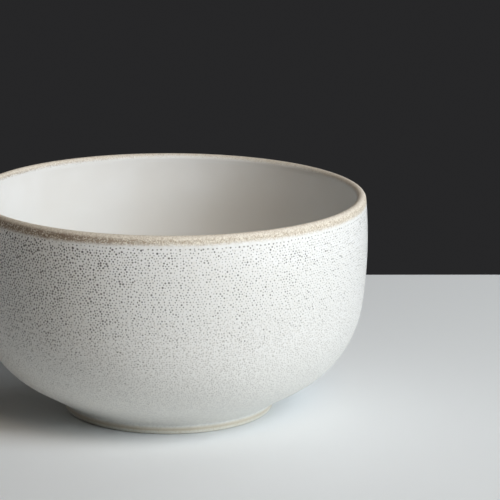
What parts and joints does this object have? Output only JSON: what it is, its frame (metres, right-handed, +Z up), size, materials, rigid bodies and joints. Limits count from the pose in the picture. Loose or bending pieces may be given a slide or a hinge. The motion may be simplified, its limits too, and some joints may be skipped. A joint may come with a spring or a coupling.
{
  "type": "soup bowl",
  "caption": "Round stoneware soup bowl with a near-upright bowed wall, a full belly, a rounded sandy lip and a low foot ring; speckled white glaze outside, smooth pale glaze inside.",
  "frame": {"origin": "middle of the foot ring, on the plane that the bowl rests on", "axes": "+Z up along the bowl's axis, towards its mouth"},
  "size_m": [0.15, 0.15, 0.083],
  "materials": {
    "clay": "bare fired stoneware, fine matte grain",
    "speckled_glaze": "satin white with fine dark specks",
    "liner_glaze": "smooth satin, pale warm grey",
    "sandy_glaze": "thin sandy tan coat, granular"
  },
  "bodies": {
    "root": {"clay_body": "clay", "foot_ring": "clay", "outer_glaze": "speckled_glaze", "inner_glaze": "liner_glaze", "rim_glaze": "sandy_glaze", "base_glaze": "speckled_glaze"}
  },
  "joints": []
}
